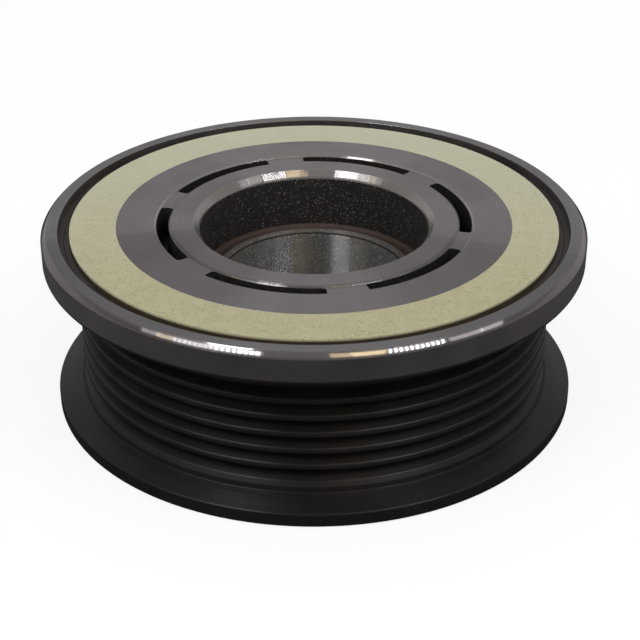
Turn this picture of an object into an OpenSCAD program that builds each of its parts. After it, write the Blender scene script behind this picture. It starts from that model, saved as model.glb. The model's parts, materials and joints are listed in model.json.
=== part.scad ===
// Grooved drive pulley of an electromagnetic compressor clutch, with its ball bearing and field coil.
// The axis of rotation is Z. The origin is on that axis, in the plane of the rear flange's end face,
// and +Z points to the friction face. Depths are measured down from the steel friction face.

/* [Pulley rim] */
// Depth from the friction face to the rear plane
body_h = 37.6; // [37.2:0.1:38.4]
// Height of the rim top over the friction face
rim_rise = 0.3; // [0.1:0.05:0.4]
// Outside diameter of the front flange
front_flange_d = 110; // [109.6:0.2:112]
// Outside diameter of the rear flange
rear_flange_d = 107.6; // [106:0.2:109]
// Inside diameter of the bare rim around the friction face
rim_inner_d = 103.2; // [102.8:0.1:104]
// Width of the bevel on the rim's outer edge
bevel_w = 1.1; // [0.8:0.1:1.6]
// Drop of that bevel
bevel_drop = 1.2; // [0.8:0.1:1.4]
// Depth at which the front flange's outer wall ends
flange_wall_depth = 5.9; // [5.6:0.1:6.2]

/* [Belt grooves] */
// Number of V grooves
groove_count = 6; // [5:1:6]
// Distance between grooves
groove_pitch = 3.56; // [3.5:0.01:3.6]
// Angle between the walls of one groove
groove_angle = 40; // [38:1:42]
// Depth of one groove
groove_depth = 2.7; // [2.4:0.05:2.8]
// Width of the flat at the bottom of one groove
groove_root_w = 0.5; // [0.4:0.05:0.6]
// Diameter over the crests between the grooves
crest_d = 96.4; // [96:0.1:97]
// Depth of the first groove's centre
first_groove_depth = 12.0; // [11.9:0.05:12.2]

/* [Friction face] */
// Inside diameter of the friction lining
lining_inner_d = 80; // [79:0.2:81]
// Outside diameter of the friction lining
lining_outer_d = 98.6; // [98.2:0.1:99]
// Thickness of the friction lining
lining_t = 2.5; // [2.2:0.1:2.8]
// Depth of the open gap between the lining and the rim
gap_depth = 1.6; // [1.2:0.1:1.8]
// Diameter at the inner walls of the slots
slot_inner_d = 58.9; // [58.8:0.1:59.2]
// Diameter at the outer walls of the slots
slot_outer_d = 63.9; // [63.5:0.1:64.3]
// Number of slots
slot_count = 6; // [4:1:6]
// Length of one slot as an angle
slot_span = 45.4; // [40:0.2:50]
// Angle of the first slot's centre from +X
slot_turn = 12; // [0:0.5:60]
// Radius of a slot's corners
slot_corner_r = 0.6; // [0.4:0.1:1]
// Depth of the shallow turned groove that the slots open into
slot_groove_depth = 0.35; // [0.25:0.05:0.45]
// Diameter of the opening in the middle
opening_d = 46.4; // [46:0.1:47]
// Diameter of the opening's machined mouth at the face
mouth_d = 48.8; // [48.4:0.1:49.6]
// Depth of the machined mouth
mouth_depth = 1.5; // [1.3:0.1:1.8]

/* [Rotor] */
// Outside diameter of the hub
hub_d = 58.4; // [58.2:0.1:58.5]
// Depth at which the hub ends
hub_end_depth = 32.4; // [32.2:0.1:32.5]
// Thickness of the slotted face plate
plate_t = 6.0; // [5.8:0.1:6.1]
// Inside diameter of the outer cylinder
shell_inner_d = 82; // [81.8:0.1:82.4]
// Outside diameter of the outer cylinder, which the rim is pressed on
shell_outer_d = 86; // [85.6:0.1:86.4]
// Outside diameter of the rotor's front flange
rotor_flange_d = 100.8; // [100.6:0.1:101]
// Thickness of the rotor's front flange
rotor_flange_t = 5.0; // [4.8:0.1:5.2]

/* [Bearing] */
// Bore of the inner ring
bearing_bore = 38; // [37.9:0.05:38.1]
// Outside diameter of the outer ring
bearing_od = 54; // [53.8:0.1:54.2]
// Width of both rings
bearing_w = 17; // [16.5:0.1:17]
// Depth of the bearing's front face
bearing_depth = 12.2; // [12:0.1:12.3]
// Diameter of one ball
ball_d = 4.76; // [4.7:0.01:4.8]
// Balls in one row
ball_count = 22; // [18:1:22]
// Distance between the two rows
row_gap = 7.0; // [6.9:0.05:7.1]
// Clearance between the balls and the raceways
ball_play = 0.04; // [0.03:0.01:0.06]
// Thickness of one rubber seal
seal_t = 1.1; // [1:0.05:1.2]
// Clearance of a seal lip over the inner ring
lip_play = 0.06; // [0.04:0.01:0.1]
// Thickness of the retaining ring
circlip_t = 1.6; // [1.5:0.05:1.6]

/* [Field coil] */
// Radial gap between the coil and the rotor
coil_gap = 0.6; // [0.5:0.05:0.7]
// Depth of the coil's front face
coil_front_depth = 7.0; // [6.8:0.1:7.2]
// Wall thickness of the coil shell
coil_wall = 1.5; // [1.4:0.1:1.6]
// Thickness of the coil shell's floor
coil_floor_t = 2.0; // [1.8:0.1:2.1]
// Height of the mounting plate's seat over the rear plane
plate_z = 2.0; // [1.9:0.1:2.1]
// Thickness of the mounting plate
coil_plate_t = 2.2; // [2.1:0.05:2.2]
// Inside diameter of the mounting plate
coil_plate_bore = 42; // [41:0.5:43]
// Distance of the locating pin's hole from the axis
pin_hole_offset = 25; // [24:0.5:26]
// Diameter of the locating pin's hole
pin_hole_d = 4.2; // [4:0.1:5]
// Number of rivets that hold the shell on the plate
rivet_count = 5; // [3:1:5]
// Diameter of one rivet
rivet_d = 3; // [2.8:0.1:3.2]
// Wall thickness of the bobbin
bobbin_t = 0.8; // [0.7:0.05:0.9]
// Thickness of the sealing resin over the bobbin
resin_t = 1.6; // [1.4:0.1:1.8]

/* [Hidden] */
$fn = 180;

cut = 1;                        // how far a cutting shape runs past the surface it opens
edge = 0.3;                     // small edge chamfer on turned steel

face_z = body_h;
rim_top = body_h + rim_rise;

// Radii of the rim and the friction face
front_flange_r = front_flange_d / 2;
rear_flange_r = rear_flange_d / 2;
rim_inner_r = rim_inner_d / 2;
crest_r = crest_d / 2;
root_r = crest_r - groove_depth;
lining_inner_r = lining_inner_d / 2;
lining_outer_r = lining_outer_d / 2;
slot_inner_r = slot_inner_d / 2;
slot_outer_r = slot_outer_d / 2;
slot_floor_margin = 0.05;       // width of the groove's flat floor beside each slot wall
groove_floor_inner_r = slot_inner_r - slot_floor_margin;
groove_floor_outer_r = slot_outer_r + slot_floor_margin;
groove_inner_slope = 0.65;      // radial width of the groove's sloped inner side
groove_outer_slope = 0.35;      // radial width of the groove's sloped outer side
slot_wall_steps = 12;           // straight steps along half of a slot's long wall
slot_corner_steps = 4;          // straight steps round one corner of a slot
opening_r = opening_d / 2;
mouth_r = mouth_d / 2;

// Groove section
groove_half_w = groove_root_w / 2 + groove_depth * tan(groove_angle / 2);
neck_r = crest_r + 0.8;         // the first groove's outer wall ends at this radius
neck_h = 0.7;                   // and this far over the groove's edge
crest_round = 0.35;             // size of the rounding on each crest
first_groove_z = face_z - first_groove_depth;
last_groove_z = first_groove_z - (groove_count - 1) * groove_pitch;

// Rear flange section, as heights over the rear plane
rear_land_r = crest_r + 0.6;
rear_step_r = crest_r + 2.2;
rear_land_z = last_groove_z - groove_half_w - 1;
rear_step_z = rear_land_z - 1.2;
rear_wall_z = 2.9;
rear_mouth_r = 45.5;            // the rim's inside opens to this radius at the rear
rear_mouth_h = 2.6;

// Rotor section
hub_r = hub_d / 2;
shell_inner_r = shell_inner_d / 2;
shell_outer_r = shell_outer_d / 2;
rotor_flange_r = rotor_flange_d / 2;
rotor_flange_z = face_z - rotor_flange_t;
plate_under_z = face_z - plate_t;
groove_floor_z = face_z - slot_groove_depth;
shell_end_z = 1.8;
hub_end_z = face_z - hub_end_depth;
counterbore_play = 0.05;        // radial seam between the rotor's flange and the rim

// Bearing section
bore_r = bearing_bore / 2;
seat_r = bearing_od / 2;
ball_r = ball_d / 2;
pitch_r = (bore_r + seat_r) / 2;
race_r = ball_r + ball_play;
bearing_front_z = face_z - bearing_depth;
bearing_rear_z = bearing_front_z - bearing_w;
bearing_mid_z = (bearing_front_z + bearing_rear_z) / 2;
front_row_z = bearing_mid_z + row_gap / 2;
rear_row_z = bearing_mid_z - row_gap / 2;
inner_land_r = pitch_r - 1.4;
outer_land_r = pitch_r + 1.4;
inner_end_r = 20.6;             // the inner ring is turned down here, under each seal lip
outer_end_r = 24.9;             // opening of the outer ring at each end
seal_groove_r = 25.5;
seal_inset = 0.6;               // each seal stands this far inside the bearing's end face
inner_chamfer = 0.6;
end_step = seal_inset + seal_t + 0.3;   // length of that turned-down end
seal_insert_t = 0.4;
insert_inner_r = inner_end_r + 0.9;
insert_outer_r = seal_groove_r - 0.7;
cage_inner_r = pitch_r - 1.05;
cage_outer_r = pitch_r + 1.05;
cage_base_t = 0.6;
cage_prong_h = 1.2;             // how far the prongs pass the balls' centres
pocket_r = ball_r + 0.08;

// Retaining ring and its groove
circlip_z = bearing_rear_z - circlip_t;
circlip_groove_r = seat_r + 0.9;
circlip_inner_r = circlip_groove_r - 2.4;
circlip_gap = 34;               // open angle of the ring
ear_turn = 3;                   // each ear's centre stands this far past the ring's end
ear_r = 2.0;
ear_mid_r = circlip_inner_r - 0.8;
ear_hole_r = 0.9;

// Coil section
coil_inner_r = hub_r + coil_gap;
coil_outer_r = shell_inner_r - coil_gap;
coil_plate_top = plate_z + coil_plate_t;
plate_seat_r = 30;              // outside radius of the raised seat round the plate's bore
plate_rear_z = plate_z + 0.3;   // rear face of the plate outside that seat
plate_play = 0.3;               // the plate's rim stands this far inside the coil shell's
coil_front_z = face_z - coil_front_depth;
plate_bore_r = coil_plate_bore / 2;
plate_r = coil_outer_r - plate_play;
window_inner_r = coil_inner_r + coil_wall;
window_outer_r = coil_outer_r - coil_wall;
window_floor_z = coil_plate_top + coil_floor_t;
bobbin_top_z = coil_front_z - resin_t;
rivet_r = rivet_d / 2;
rivet_ring_r = (window_inner_r + window_outer_r) / 2;
rivet_head_r = 2.6;
rivet_head_h = 0.9;
rivet_turn = 90;                // the terminal block stands where a sixth rivet would be
rivet_step = 360 / (rivet_count + 1);
block_span = 26;                // angle taken by the terminal block
block_play = 0.1;
block_margin = 1;               // the block stands this far inside the coil's window
block_turn_play = 0.5;          // angular room at each end of the block
socket_margin = 4;              // angle between each end of the socket and of the block
block_end_z = 0.5;
terminal_w = 2;
terminal_t = 0.8;
terminal_end_z = 0.7;
terminal_angle = 6;             // each terminal stands this far from the block's middle
pocket_play = 0.9;              // room round each terminal in the block's mouth
pocket_depth = 2.4;

// ---------- shared shapes ----------

// A solid of revolution from a list of [radius, height] points
module lathe(points) {
    rotate_extrude() polygon(points);
}

// A plain ring between two radii and two heights
module ring(inner, outer, z0, z1) {
    lathe([[inner, z0], [outer, z0], [outer, z1], [inner, z1]]);
}

// A sector of a ring, centred on the angle mid
module sector(inner, outer, z0, z1, mid, span) {
    translate([0, 0, z0])
        rotate([0, 0, mid - span / 2])
            rotate_extrude(angle = span)
                translate([inner, 0]) square([outer - inner, z1 - z0]);
}

// Its children, repeated round the axis at a given radius
module around(count, radius, start = 0, step = 0) {
    turn = step == 0 ? 360 / count : step;
    for (i = [0 : count - 1])
        rotate([0, 0, start + i * turn]) translate([radius, 0, 0]) children();
}

// ---------- pulley ----------

// Outline of one groove from the start of its upper wall down to the next crest
function groove_points(z) = [
    [crest_r - crest_round, z + groove_half_w - crest_round * tan(groove_angle / 2)],
    [root_r, z + groove_root_w / 2],
    [root_r, z - groove_root_w / 2],
    [crest_r - crest_round, z - groove_half_w + crest_round * tan(groove_angle / 2)],
    [crest_r, z - groove_half_w - crest_round * tan(groove_angle / 2)]
];

// Point on the crest above each groove, where the crest's rounding starts
function crest_start(z) = [[crest_r, z + groove_half_w + crest_round * tan(groove_angle / 2)]];

module pulley_rim() {
    grooves = [
        for (i = [0 : groove_count - 1])
            let (z = first_groove_z - i * groove_pitch)
                each concat(crest_start(z), groove_points(z))
    ];
    flange = [
        [rim_inner_r, face_z - gap_depth], [rim_inner_r, rim_top - edge / 2],
        [rim_inner_r + edge / 2, rim_top], [front_flange_r - bevel_w, rim_top],
        [front_flange_r, rim_top - bevel_drop],
        [front_flange_r, face_z - flange_wall_depth + 2 * edge],
        [front_flange_r - 2 * edge, face_z - flange_wall_depth],
        [neck_r, first_groove_z + groove_half_w + neck_h]
    ];
    rear = [
        [rear_land_r, rear_land_z], [rear_land_r, rear_step_z], [rear_step_r, rear_step_z - edge],
        [rear_flange_r - edge, rear_wall_z], [rear_flange_r, rear_wall_z - edge],
        [rear_flange_r, 2 * edge], [rear_flange_r - 2 * edge, 0],
        [rear_mouth_r, 0], [shell_outer_r, rear_mouth_h]
    ];
    seat = [
        [shell_outer_r, rotor_flange_z], [rotor_flange_r + counterbore_play, rotor_flange_z],
        [rotor_flange_r + counterbore_play, face_z - gap_depth]
    ];
    color([0.13, 0.13, 0.13]) lathe(concat(flange, grooves, rear, seat));
}

module rotor() {
    color([0.43, 0.42, 0.42])
        difference() {
            lathe([
                [mouth_r, face_z], [groove_floor_inner_r - groove_inner_slope, face_z],
                [groove_floor_inner_r, groove_floor_z], [groove_floor_outer_r, groove_floor_z],
                [groove_floor_outer_r + groove_outer_slope, face_z],
                [lining_inner_r, face_z], [lining_inner_r, face_z - lining_t],
                [lining_outer_r, face_z - lining_t], [lining_outer_r, face_z - gap_depth],
                [rotor_flange_r, face_z - gap_depth], [rotor_flange_r, rotor_flange_z],
                [shell_outer_r, rotor_flange_z], [shell_outer_r, shell_end_z + edge],
                [shell_outer_r - edge, shell_end_z], [shell_inner_r + edge, shell_end_z],
                [shell_inner_r, shell_end_z + edge], [shell_inner_r, plate_under_z],
                [hub_r, plate_under_z], [hub_r, hub_end_z + edge], [hub_r - edge, hub_end_z],
                [seat_r + edge, hub_end_z], [seat_r, hub_end_z + edge],
                [seat_r, circlip_z], [circlip_groove_r, circlip_z],
                [circlip_groove_r, bearing_rear_z], [seat_r, bearing_rear_z],
                [seat_r, bearing_front_z], [opening_r, bearing_front_z],
                [opening_r, face_z - mouth_depth - edge], [opening_r + edge / 2, face_z - mouth_depth]
            ]);
            for (i = [0 : slot_count - 1]) slot(slot_turn + i * 360 / slot_count);
        }
}

// Points on an arc, without its first one
function arc(centre, radius, from, to, steps) = [
    for (i = [1 : steps]) let (a = from + (to - from) * i / steps) centre + radius * [cos(a), sin(a)]
];

// Half of a slot's outline: out along its outer wall, round its two corners and back along its inner wall
function slot_half_outline() =
    let (
        half = slot_span / 2,
        outer_centre_r = slot_outer_r - slot_corner_r,
        inner_centre_r = slot_inner_r + slot_corner_r,
        outer_a = half - asin(slot_corner_r / outer_centre_r),
        inner_a = half - asin(slot_corner_r / inner_centre_r)
    )
    concat(
        arc([0, 0], slot_outer_r, 0, outer_a, slot_wall_steps),
        arc(outer_centre_r * [cos(outer_a), sin(outer_a)], slot_corner_r, outer_a, half + 90,
            slot_corner_steps),
        arc(inner_centre_r * [cos(inner_a), sin(inner_a)], slot_corner_r, half + 90, inner_a + 180,
            slot_corner_steps),
        arc([0, 0], slot_inner_r, inner_a, 0, slot_wall_steps)
    );

// One curved slot through the face plate, with rounded corners
module slot(mid) {
    half = slot_half_outline();
    mirrored = [for (i = [len(half) - 2 : -1 : 0]) [half[i].x, -half[i].y]];
    z0 = plate_under_z - cut;
    translate([0, 0, z0]) rotate([0, 0, mid])
        linear_extrude(face_z + cut - z0) polygon(concat(half, mirrored, [[slot_outer_r, 0]]));
}

module friction_ring() {
    color([0.67, 0.66, 0.54])
        lathe([
            [lining_inner_r, face_z - lining_t], [lining_outer_r, face_z - lining_t],
            [lining_outer_r, face_z - edge / 2], [lining_outer_r - edge / 2, face_z],
            [lining_inner_r, face_z]
        ]);
}

// ---------- bearing ----------

module bearing_outer_ring() {
    color([0.6, 0.6, 0.61])
        difference() {
            lathe([
                [outer_end_r, bearing_rear_z], [seat_r - edge, bearing_rear_z],
                [seat_r, bearing_rear_z + edge], [seat_r, bearing_front_z - edge],
                [seat_r - edge, bearing_front_z], [outer_end_r, bearing_front_z],
                [outer_end_r, seal_face_z(1)], [seal_groove_r, seal_face_z(1)],
                [seal_groove_r, seal_face_z(1) - seal_t], [outer_land_r, seal_face_z(1) - seal_t],
                [outer_land_r, seal_face_z(-1) + seal_t], [seal_groove_r, seal_face_z(-1) + seal_t],
                [seal_groove_r, seal_face_z(-1)], [outer_end_r, seal_face_z(-1)]
            ]);
            raceway(front_row_z);
            raceway(rear_row_z);
        }
}

module bearing_inner_ring() {
    color([0.72, 0.72, 0.73])
        difference() {
            lathe([
                [bore_r + inner_chamfer, bearing_rear_z], [inner_end_r - edge / 2, bearing_rear_z],
                [inner_end_r, bearing_rear_z + edge / 2], [inner_end_r, bearing_rear_z + end_step],
                [inner_land_r, bearing_rear_z + end_step], [inner_land_r, bearing_front_z - end_step],
                [inner_end_r, bearing_front_z - end_step], [inner_end_r, bearing_front_z - edge / 2],
                [inner_end_r - edge / 2, bearing_front_z], [bore_r + inner_chamfer, bearing_front_z],
                [bore_r, bearing_front_z - inner_chamfer], [bore_r, bearing_rear_z + inner_chamfer]
            ]);
            raceway(front_row_z);
            raceway(rear_row_z);
        }
}

// Height of the outer face of the front (side 1) or rear (side -1) seal
function seal_face_z(side) = bearing_mid_z + side * (bearing_w / 2 - seal_inset);

// The ring-shaped space that a row of balls runs in
module raceway(z) {
    translate([0, 0, z]) rotate_extrude() translate([pitch_r, 0]) circle(r = race_r, $fn = 60);
}

module balls(z) {
    color([0.8, 0.8, 0.82])
        translate([0, 0, z]) around(ball_count, pitch_r) sphere(r = ball_r, $fn = 40);
}

module front_balls() { balls(front_row_z); }
module rear_balls() { balls(rear_row_z); }

// A snap-in cage: a base ring on the outer side, and prongs between the balls.
// side is 1 for the front row, whose base ring faces +Z, and -1 for the rear row.
module cage(z, side) {
    base = z + side * (ball_r + cage_base_t);
    tip = z - side * cage_prong_h;
    color([0.83, 0.79, 0.66])
        difference() {
            ring(cage_inner_r, cage_outer_r, min(base, tip), max(base, tip));
            translate([0, 0, z]) around(ball_count, pitch_r) sphere(r = pocket_r, $fn = 40);
        }
}

module front_cage() { cage(front_row_z, 1); }
module rear_cage() { cage(rear_row_z, -1); }

// A rubber seal with an open pocket on its inner side for the stiffening washer
module seal(side) {
    outer = seal_face_z(side);
    inner = outer - side * seal_t;
    pocket = inner + side * seal_insert_t;
    color([0.3, 0.2, 0.15])
        difference() {
            ring(inner_end_r + lip_play, seal_groove_r, min(outer, inner), max(outer, inner));
            ring(insert_inner_r, insert_outer_r, min(inner - side * cut, pocket),
                max(inner - side * cut, pocket));
        }
}

// A thin steel washer bonded in the seal
module seal_insert(side) {
    inner = seal_face_z(side) - side * seal_t;
    pocket = inner + side * seal_insert_t;
    color([0.5, 0.5, 0.5]) ring(insert_inner_r, insert_outer_r, min(inner, pocket), max(inner, pocket));
}

module front_seal() { seal(1); }
module rear_seal() { seal(-1); }
module front_seal_insert() { seal_insert(1); }
module rear_seal_insert() { seal_insert(-1); }

// Discs of radius r where the retaining ring's two ears stand
module ear_discs(r) {
    for (side = [-1, 1])
        rotate(side * (circlip_gap / 2 + ear_turn)) translate([ear_mid_r, 0]) circle(r = r, $fn = 48);
}

// Open ring in the hub's groove, with two ears for the pliers
module bearing_circlip() {
    reach = 2 * circlip_groove_r;
    half_w = reach * tan(circlip_gap / 2);
    color([0.24, 0.24, 0.25])
        translate([0, 0, circlip_z]) linear_extrude(circlip_t)
            difference() {
                circle(r = circlip_groove_r);
                difference() {
                    circle(r = circlip_inner_r);
                    ear_discs(ear_r);
                }
                difference() {
                    polygon([[0, 0], [reach, -half_w], [reach, half_w]]);
                    ear_discs(ear_r);
                }
                ear_discs(ear_hole_r);
            }
}

// ---------- field coil ----------

// Steel cup, open to the front, that carries the coil's magnetic field
module coil_shell() {
    color([0.36, 0.37, 0.38])
        difference() {
            lathe([
                [coil_inner_r, coil_plate_top], [coil_outer_r, coil_plate_top],
                [coil_outer_r, coil_front_z - edge], [coil_outer_r - edge, coil_front_z],
                [window_outer_r, coil_front_z], [window_outer_r, window_floor_z],
                [window_inner_r, window_floor_z], [window_inner_r, coil_front_z],
                [coil_inner_r + edge, coil_front_z], [coil_inner_r, coil_front_z - edge]
            ]);
            translate([0, 0, coil_plate_top - cut]) rivet_holes(coil_floor_t + 2 * cut);
            block_opening(coil_plate_top - cut, window_floor_z + cut);
        }
}

// Through holes for the rivets, from z = 0 up
module rivet_holes(height) {
    around(rivet_count, rivet_ring_r, rivet_turn + rivet_step, rivet_step)
        cylinder(r = rivet_r, h = height, $fn = 48);
}

// Opening for the terminal block in the shell's floor and in the plate
module block_opening(z0, z1) {
    sector(window_inner_r + block_margin - block_play, window_outer_r - block_margin + block_play,
        z0, z1, rivet_turn, block_span + 2 * block_turn_play);
}

// Nylon spool that the wire is wound on
module coil_bobbin() {
    wall_r = window_inner_r + bobbin_t;
    color([0.85, 0.83, 0.75])
        difference() {
            lathe([
                [window_inner_r, window_floor_z], [window_outer_r, window_floor_z],
                [window_outer_r, window_floor_z + bobbin_t], [wall_r, window_floor_z + bobbin_t],
                [wall_r, bobbin_top_z - bobbin_t], [window_outer_r, bobbin_top_z - bobbin_t],
                [window_outer_r, bobbin_top_z], [window_inner_r, bobbin_top_z]
            ]);
            for (side = [-1, 1]) terminal(side, window_floor_z - cut, window_floor_z + bobbin_t + cut);
        }
}

module coil_winding() {
    color([0.66, 0.36, 0.2])
        ring(window_inner_r + bobbin_t, window_outer_r - bobbin_t,
            window_floor_z + bobbin_t, bobbin_top_z - bobbin_t);
}

// Cast resin that closes the front of the shell
module coil_resin() {
    color([0.08, 0.08, 0.08])
        ring(window_inner_r, window_outer_r, bobbin_top_z, coil_front_z);
}

// Steel disc that fastens the coil to the compressor's nose
module coil_plate() {
    color([0.55, 0.53, 0.45])
        difference() {
            lathe([
                [plate_bore_r + edge, plate_z], [plate_seat_r, plate_z], [plate_seat_r, plate_rear_z],
                [plate_r - edge, plate_rear_z], [plate_r, plate_rear_z + edge],
                [plate_r, coil_plate_top - edge], [plate_r - edge, coil_plate_top],
                [plate_bore_r + edge, coil_plate_top], [plate_bore_r, coil_plate_top - edge],
                [plate_bore_r, plate_z + edge]
            ]);
            rotate([0, 0, rivet_turn + 180])
                translate([pin_hole_offset, 0, plate_z - cut])
                    cylinder(d = pin_hole_d, h = coil_plate_t + 2 * cut, $fn = 48);
            translate([0, 0, plate_z - cut]) rivet_holes(coil_plate_t + 2 * cut);
            block_opening(plate_z - cut, coil_plate_top + cut);
        }
}

// Rivets through the plate and the shell's floor, with low heads at the rear
module coil_rivets() {
    head_z = plate_rear_z - rivet_head_h;
    dome_r = (rivet_head_r * rivet_head_r + rivet_head_h * rivet_head_h) / 2 / rivet_head_h;
    color([0.6, 0.6, 0.58])
        around(rivet_count, rivet_ring_r, rivet_turn + rivet_step, rivet_step) {
            translate([0, 0, plate_rear_z])
                cylinder(r = rivet_r, h = window_floor_z - plate_rear_z, $fn = 48);
            intersection() {
                translate([0, 0, head_z]) cylinder(r = rivet_head_r, h = rivet_head_h, $fn = 48);
                translate([0, 0, head_z + dome_r]) sphere(r = dome_r, $fn = 48);
            }
        }
}

// One flat terminal of the coil; side is 1 or -1
module terminal(side, z0, z1) {
    rotate([0, 0, rivet_turn + side * terminal_angle])
        translate([rivet_ring_r - terminal_t / 2, -terminal_w / 2, z0])
            cube([terminal_t, terminal_w, z1 - z0]);
}

module coil_terminals() {
    color([0.75, 0.62, 0.32])
        for (side = [-1, 1]) terminal(side, terminal_end_z, window_floor_z + bobbin_t);
}

// Nylon block through the shell and the plate, with a socket round the terminals
module terminal_block() {
    socket_r = terminal_t / 2 + pocket_play;
    color([0.1, 0.1, 0.11])
        difference() {
            sector(window_inner_r + block_margin, window_outer_r - block_margin,
                block_end_z, window_floor_z, rivet_turn, block_span);
            sector(rivet_ring_r - socket_r, rivet_ring_r + socket_r, block_end_z - cut,
                block_end_z + pocket_depth, rivet_turn, block_span - 2 * socket_margin);
            for (side = [-1, 1]) terminal(side, block_end_z, window_floor_z + cut);
        }
}

rotor();
pulley_rim();
friction_ring();
bearing_outer_ring();
bearing_inner_ring();
bearing_circlip();
front_balls();
rear_balls();
front_cage();
rear_cage();
front_seal();
rear_seal();
front_seal_insert();
rear_seal_insert();
coil_shell();
coil_bobbin();
coil_winding();
coil_resin();
coil_plate();
coil_rivets();
terminal_block();
coil_terminals();
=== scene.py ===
"""Looks of a compressor clutch pulley: turned steel, friction lining, black grooved rim, bearing and coil.

Lengths in this script are millimetres until a mesh is made, and the row frame is metres: +Z is the axis of
rotation, with the friction face up and the rear flange's end face in the plane z = 0.
"""

import json
import math

import bmesh
import bpy
from mathutils import Matrix, Vector


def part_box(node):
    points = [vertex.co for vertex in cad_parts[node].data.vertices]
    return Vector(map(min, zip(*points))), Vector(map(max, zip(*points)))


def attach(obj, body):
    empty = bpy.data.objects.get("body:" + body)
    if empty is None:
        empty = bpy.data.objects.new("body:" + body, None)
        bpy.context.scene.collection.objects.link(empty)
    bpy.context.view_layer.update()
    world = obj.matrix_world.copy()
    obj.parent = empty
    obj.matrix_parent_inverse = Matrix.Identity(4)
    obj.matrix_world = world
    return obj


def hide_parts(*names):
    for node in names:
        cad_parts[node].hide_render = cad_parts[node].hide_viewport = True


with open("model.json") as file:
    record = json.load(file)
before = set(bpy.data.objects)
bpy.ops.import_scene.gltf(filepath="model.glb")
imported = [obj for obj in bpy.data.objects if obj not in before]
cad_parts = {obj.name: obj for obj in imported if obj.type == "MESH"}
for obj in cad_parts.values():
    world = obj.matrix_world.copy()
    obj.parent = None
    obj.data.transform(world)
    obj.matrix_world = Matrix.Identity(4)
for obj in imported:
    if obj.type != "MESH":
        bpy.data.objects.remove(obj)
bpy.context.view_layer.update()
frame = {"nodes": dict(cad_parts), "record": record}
MM = 0.001
NODES = frame["nodes"]
MOUNTS = {mount["name"]: mount for mount in frame["record"]["mounts"]}


# ---------- dimensions ----------

def reach(node):
    """Largest radius of a CAD node about the axis, in mm."""
    return max(math.hypot(v.co.x, v.co.y) for v in NODES[node].data.vertices) / MM


def bore(node):
    """Smallest radius of a CAD node about the axis, in mm."""
    return min(math.hypot(v.co.x, v.co.y) for v in NODES[node].data.vertices) / MM


def low(node):
    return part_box(node)[0].z / MM


def high(node):
    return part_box(node)[1].z / MM


FACE = high("friction_ring")
RIM_TOP = high("pulley_rim")
RIM_R = reach("pulley_rim")
RIM_INNER_R = 51.6
BEVEL_W, BEVEL_DROP = 1.1, 1.2
WALL_DEPTH = 5.9

GROOVES = 6
PITCH = 3.56
FIRST_GROOVE_Z = FACE - 12.0
CREST_R = 48.2
ROOT_R = 45.5
ROOT_HALF = 0.25
GROOVE_SLOPE = math.tan(math.radians(20))
GROOVE_HALF = ROOT_HALF + (CREST_R - ROOT_R) * GROOVE_SLOPE

REAR_R = 53.8
REAR_WALL_Z = 2.9
REAR_MOUTH_R, REAR_MOUTH_Z = 45.5, 2.6

LINING_IN, LINING_OUT = bore("friction_ring"), reach("friction_ring")
LINING_T = FACE - low("friction_ring")
GAP_DEPTH = 1.6

SLOT_IN, SLOT_OUT = 29.45, 31.95
SLOT_MID, SLOT_HALF = (SLOT_IN + SLOT_OUT) / 2, (SLOT_OUT - SLOT_IN) / 2
SLOT_COUNT, SLOT_SPAN, SLOT_TURN = 6, 45.4, 12.0
SLOT_DEPTH = 0.35
SLOT_FLOOR_IN, SLOT_FLOOR_OUT = SLOT_IN - 0.05, SLOT_OUT + 0.05
SLOT_TOP_IN, SLOT_TOP_OUT = SLOT_FLOOR_IN - 0.65, SLOT_FLOOR_OUT + 0.35
SLOT_LIP = 0.04
OPENING_R, MOUTH_R, MOUTH_DEPTH = 23.2, 24.4, 1.5

HUB_R, HUB_END = 29.2, FACE - 32.4
SHELL_IN, SHELL_OUT = 41.0, 43.0
SHELL_END = low("rotor")
FLANGE_R, FLANGE_T = reach("rotor"), 5.0
PLATE_UNDER = FACE - 6.0
COUNTERBORE_R = FLANGE_R + 0.05

SEAT_R = reach("bearing_outer_ring")
BEARING_LOW, BEARING_HIGH = low("bearing_outer_ring"), high("bearing_outer_ring")
CIRCLIP_LOW, CIRCLIP_R = low("bearing_circlip"), reach("bearing_circlip")
NOSE_R = MOUNTS["nose_bore"]["dims"]["r_mm"]


# ---------- meshes of revolution ----------

SEGMENTS = 360
SMALL = 0.06                          # fillet on an edge that is called sharp
ARC_STEP, SMALL_ARC_STEP = 15, 30     # degrees that a step on a fillet turns, and on a small fillet
SMALL_ARC = 0.15                      # a fillet under this is a small one
STRAIGHT = math.radians(89)           # half the angle at a corner that counts as no corner
SHARP = math.radians(35)              # faces that meet at more than this are shaded with an edge
SAME_POINT = 1e-4                     # points closer than this are one point
MOST_OF_EDGE = 0.45                   # share of an edge that one fillet may take


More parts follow.
